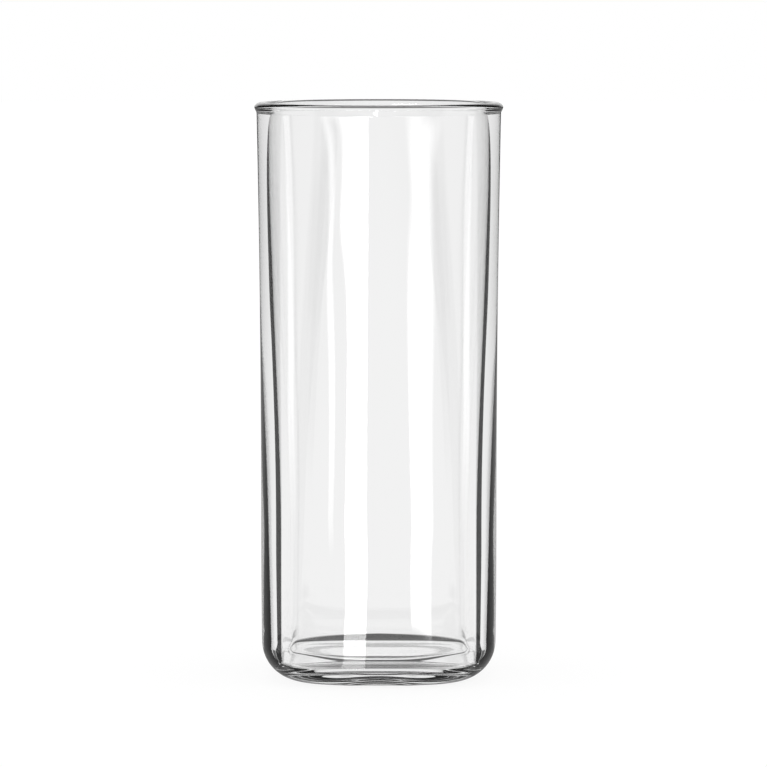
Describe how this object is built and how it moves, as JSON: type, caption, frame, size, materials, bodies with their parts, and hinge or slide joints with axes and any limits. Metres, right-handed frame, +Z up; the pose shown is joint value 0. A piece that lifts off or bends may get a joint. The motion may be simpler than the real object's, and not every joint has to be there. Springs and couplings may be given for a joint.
{
  "type": "cooler glass",
  "caption": "Tall clear glass tumbler with a round beaded rim, walls that turn soft-square towards the foot and a thick floor, for serving cold drinks.",
  "frame": {"origin": "on the axis of the glass, level with the standing ring that it rests on", "axes": "+Z up along the axis; the flats of the soft-square foot face along X and Y, and -Y faces the viewer of the picture"},
  "size_m": [0.07, 0.07, 0.162],
  "materials": {
    "clear_glass": "clear, colourless and smooth, fire-polished at the rim, with fine wear on the standing ring"
  },
  "bodies": {
    "root": {"glass_tumbler": "clear_glass"}
  },
  "joints": []
}
